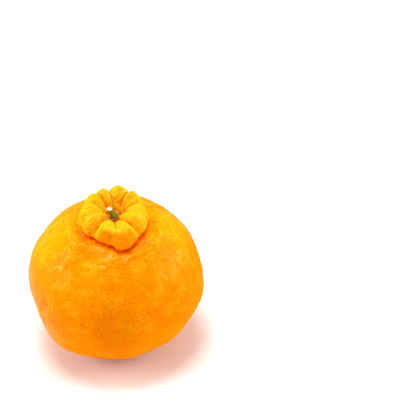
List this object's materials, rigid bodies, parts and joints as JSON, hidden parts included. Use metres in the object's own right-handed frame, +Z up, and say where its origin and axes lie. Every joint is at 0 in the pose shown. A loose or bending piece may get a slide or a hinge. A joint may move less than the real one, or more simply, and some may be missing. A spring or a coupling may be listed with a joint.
{
  "type": "dekopon fruit",
  "caption": "Dekopon citrus fruit with a knobbly, folded rind neck round a short cut stem, resting on a small flat spot.",
  "frame": {"origin": "middle of the small flat spot that the fruit rests on", "axes": "+Z up; -Y towards the side the neck tips to, the front of the picture"},
  "size_m": [0.0889, 0.0891, 0.094],
  "materials": {
    "rind": "semi-gloss citrus rind with fine oil-gland pits",
    "calyx": "dry, matte",
    "stem": "matte bark with a pale cut end"
  },
  "bodies": {
    "root": {"fruit": "rind", "calyx": "calyx", "stem": "stem"}
  },
  "joints": []
}
